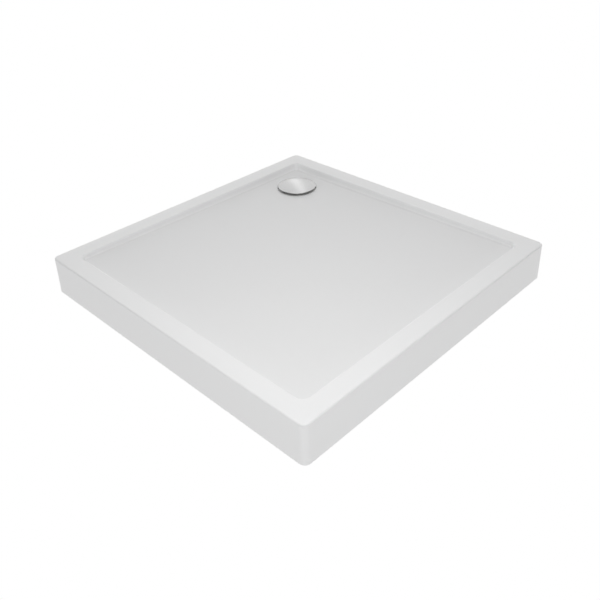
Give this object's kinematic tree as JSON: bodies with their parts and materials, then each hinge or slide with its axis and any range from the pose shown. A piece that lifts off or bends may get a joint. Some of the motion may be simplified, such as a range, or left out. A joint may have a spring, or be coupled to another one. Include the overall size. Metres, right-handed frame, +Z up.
{
  "type": "shower tray",
  "caption": "Square white acrylic shower tray with a flat rim, low walls, a floor falling to a corner waste with a domed metal cover, and an integral apron on screw feet.",
  "frame": {"origin": "on the floor under the middle of the tray", "axes": "+Z up; the two show sides face -X and -Y, the waste is near the +X +Y corner"},
  "size_m": [0.9, 0.9, 0.1],
  "materials": {
    "acrylic_white": "white sanitary acrylic, satin gloss",
    "glass_fibre": "rough chopped strand in resin",
    "resin": "cured filler",
    "chipboard": "raw chipboard",
    "timber": "sawn softwood",
    "zinc_steel": "zinc plated",
    "foot_plastic": "moulded",
    "waste_metal": "satin stainless",
    "seal_rubber": "moulded",
    "trap_plastic": "moulded white",
    "pipe_plastic": "extruded white",
    "insert_plastic": "moulded pale grey",
    "chrome": "satin"
  },
  "bodies": {
    "tray": {"tray_shell": "acrylic_white", "fibreglass_backing": "glass_fibre", "resin_bed": "resin", "base_board": "chipboard", "rim_batten_front_left": "timber", "rim_batten_front_right": "timber", "rim_batten_back_left": "timber", "rim_batten_back_right": "timber", "leg_plates": "zinc_steel", "plate_screws": "zinc_steel", "lock_nuts": "zinc_steel", "waste_flange": "trap_plastic", "upper_seal": "seal_rubber", "lower_seal": "seal_rubber", "flange_screws": "waste_metal", "trap_housing": "trap_plastic", "trap_cup": "trap_plastic", "outlet_nut": "trap_plastic", "outlet_seal": "seal_rubber", "tail_pipe": "pipe_plastic"},
    "insert": {"trap_insert": "insert_plastic", "insert_ring": "seal_rubber"},
    "strainer": {"hair_strainer": "insert_plastic"},
    "cover": {"waste_cover": "chrome", "cover_carrier": "insert_plastic"},
    "pad_front": {"foot_pad_front": "foot_plastic"},
    "rod_front": {"leveling_rod_front": "zinc_steel"},
    "pad_left": {"foot_pad_left": "foot_plastic"},
    "rod_left": {"leveling_rod_left": "zinc_steel"},
    "pad_right": {"foot_pad_right": "foot_plastic"},
    "rod_right": {"leveling_rod_right": "zinc_steel"},
    "pad_centre": {"foot_pad_centre": "foot_plastic"},
    "rod_centre": {"leveling_rod_centre": "zinc_steel"},
    "pad_back_left": {"foot_pad_back_left": "foot_plastic"},
    "rod_back_left": {"leveling_rod_back_left": "zinc_steel"},
    "pad_back_right": {"foot_pad_back_right": "foot_plastic"},
    "rod_back_right": {"leveling_rod_back_right": "zinc_steel"}
  },
  "joints": [
    {"name": "foot_travel_front", "type": "slide", "parent": "tray", "child": "pad_front", "axis": [-0.0092, -0.0092, -0.9999], "range_m": [-0.005, 0.012]},
    {"name": "rod_turn_front", "type": "hinge", "parent": "pad_front", "child": "rod_front", "pos_m": [-0.30054, -0.30054, 0.0094], "axis": [-0.0092, -0.0092, -0.9999], "range_deg": [-1029, 2469]},
    {"name": "foot_travel_left", "type": "slide", "parent": "tray", "child": "pad_left", "axis": [-0.0092, -0.0092, -0.9999], "range_m": [-0.005, 0.012]},
    {"name": "rod_turn_left", "type": "hinge", "parent": "pad_left", "child": "rod_left", "pos_m": [-0.30049, 0.29951, 0.0094], "axis": [-0.0092, -0.0092, -0.9999], "range_deg": [-1029, 2469]},
    {"name": "foot_travel_right", "type": "slide", "parent": "tray", "child": "pad_right", "axis": [-0.0092, -0.0092, -0.9999], "range_m": [-0.005, 0.012]},
    {"name": "rod_turn_right", "type": "hinge", "parent": "pad_right", "child": "rod_right", "pos_m": [0.29951, -0.30049, 0.0094], "axis": [-0.0092, -0.0092, -0.9999], "range_deg": [-1029, 2469]},
    {"name": "foot_travel_centre", "type": "slide", "parent": "tray", "child": "pad_centre", "axis": [-0.0092, -0.0092, -0.9999], "range_m": [-0.005, 0.012]},
    {"name": "rod_turn_centre", "type": "hinge", "parent": "pad_centre", "child": "rod_centre", "pos_m": [-0.00049, -0.00049, 0.0094], "axis": [-0.0092, -0.0092, -0.9999], "range_deg": [-1029, 2469]},
    {"name": "foot_travel_back_left", "type": "slide", "parent": "tray", "child": "pad_back_left", "axis": [-0.0092, -0.0092, -0.9999], "range_m": [-0.005, 0.012]},
    {"name": "rod_turn_back_left", "type": "hinge", "parent": "pad_back_left", "child": "rod_back_left", "pos_m": [0.14955, 0.32955, 0.0094], "axis": [-0.0092, -0.0092, -0.9999], "range_deg": [-1029, 2469]},
    {"name": "foot_travel_back_right", "type": "slide", "parent": "tray", "child": "pad_back_right", "axis": [-0.0092, -0.0092, -0.9999], "range_m": [-0.005, 0.012]},
    {"name": "rod_turn_back_right", "type": "hinge", "parent": "pad_back_right", "child": "rod_back_right", "pos_m": [0.32955, 0.14955, 0.0094], "axis": [-0.0092, -0.0092, -0.9999], "range_deg": [-1029, 2469]},
    {"name": "insert_lift", "type": "slide", "parent": "tray", "child": "insert", "axis": [0, 0, 1], "range_m": [0, 0.12]},
    {"name": "strainer_lift", "type": "slide", "parent": "insert", "child": "strainer", "axis": [0, 0, 1], "range_m": [0, 0.1]},
    {"name": "cover_lift", "type": "slide", "parent": "strainer", "child": "cover", "axis": [0, 0, 1], "range_m": [0, 0.1]}
  ],
  "couplings": [
    {"joint": "rod_turn_front", "follows": "foot_travel_front", "rad_per_m": 3590.4},
    {"joint": "rod_turn_left", "follows": "foot_travel_left", "rad_per_m": 3590.4},
    {"joint": "rod_turn_right", "follows": "foot_travel_right", "rad_per_m": 3590.4},
    {"joint": "rod_turn_centre", "follows": "foot_travel_centre", "rad_per_m": 3590.4},
    {"joint": "rod_turn_back_left", "follows": "foot_travel_back_left", "rad_per_m": 3590.4},
    {"joint": "rod_turn_back_right", "follows": "foot_travel_back_right", "rad_per_m": 3590.4}
  ]
}
